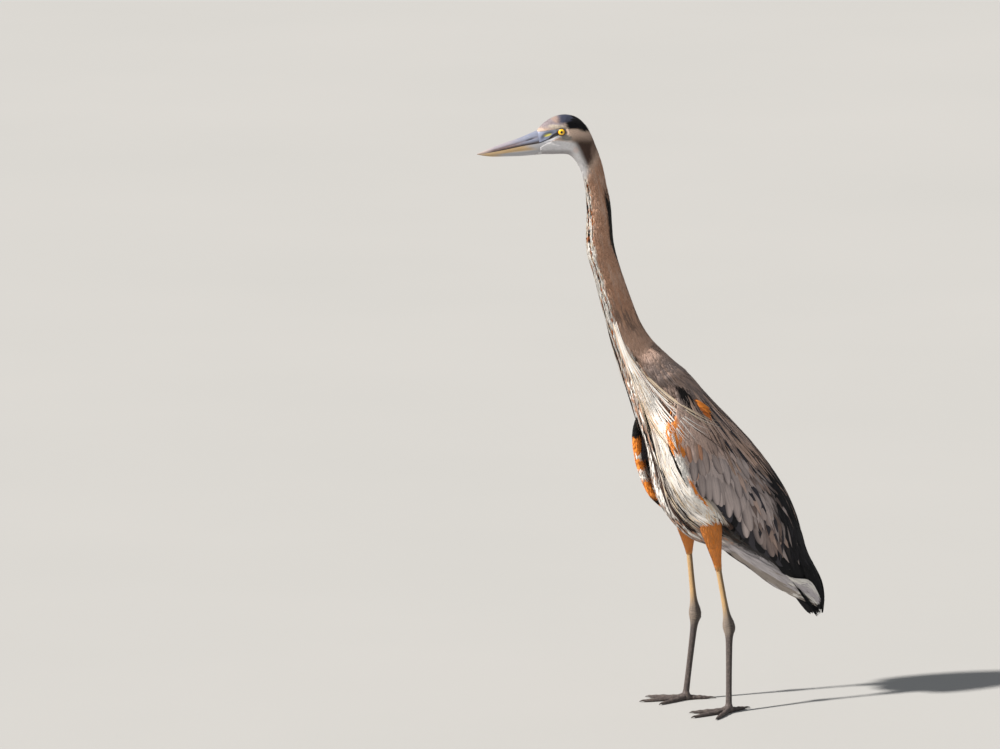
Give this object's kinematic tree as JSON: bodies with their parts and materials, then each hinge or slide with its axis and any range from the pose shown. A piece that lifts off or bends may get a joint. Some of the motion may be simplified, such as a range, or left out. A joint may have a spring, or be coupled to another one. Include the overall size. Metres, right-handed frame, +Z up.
{
  "type": "great blue heron",
  "caption": "Life-size great blue heron standing alert, neck stretched up, dagger bill level and turned slightly to its right, wings folded, both feet flat on the floor.",
  "frame": {"origin": "on the floor, under the middle of the whole bird's length and width", "axes": "+X towards the breast, the way the body faces; +Y to the bird's left; +Z up from the soles to the crown"},
  "size_m": [0.771, 0.2765, 1.2614],
  "materials": {
    "crown_plumage": "short sleek slate and buff head feathers",
    "neck_plumage": "soft taupe feathers with a streaked front",
    "trunk_plumage": "loose grey and white feathers",
    "wing_plumage": "smooth slate-grey coverts and black flight feathers",
    "tail_plumage": "slate tail feathers",
    "rufous_plumage": "short chestnut leg feathers",
    "bare_leg_skin": "tan scaly skin, satin",
    "scaly_leg": "grey-brown horny scales, satin",
    "upper_horn": "blue-grey horn, satin",
    "lower_horn": "tan horn, satin",
    "eye_glass": "yellow-orange iris under a clear wet dome",
    "claw_horn": "dark horn, satin"
  },
  "bodies": {
    "root": {"head": "crown_plumage", "eye_left": "eye_glass", "eye_right": "eye_glass", "bill_upper": "upper_horn", "bill_lower": "lower_horn", "neck_upper": "neck_plumage", "neck_middle": "neck_plumage", "neck_lower": "neck_plumage", "trunk": "trunk_plumage", "tail": "tail_plumage", "wing_left": "wing_plumage", "wing_right": "wing_plumage", "thigh_left": "rufous_plumage", "shank_left": "bare_leg_skin", "tarsus_left": "scaly_leg", "foot_left": "scaly_leg", "claw_left_inner": "claw_horn", "claw_left_middle": "claw_horn", "claw_left_outer": "claw_horn", "claw_left_hind": "claw_horn", "thigh_right": "rufous_plumage", "shank_right": "bare_leg_skin", "tarsus_right": "scaly_leg", "foot_right": "scaly_leg", "claw_right_inner": "claw_horn", "claw_right_middle": "claw_horn", "claw_right_outer": "claw_horn", "claw_right_hind": "claw_horn"}
  },
  "joints": []
}
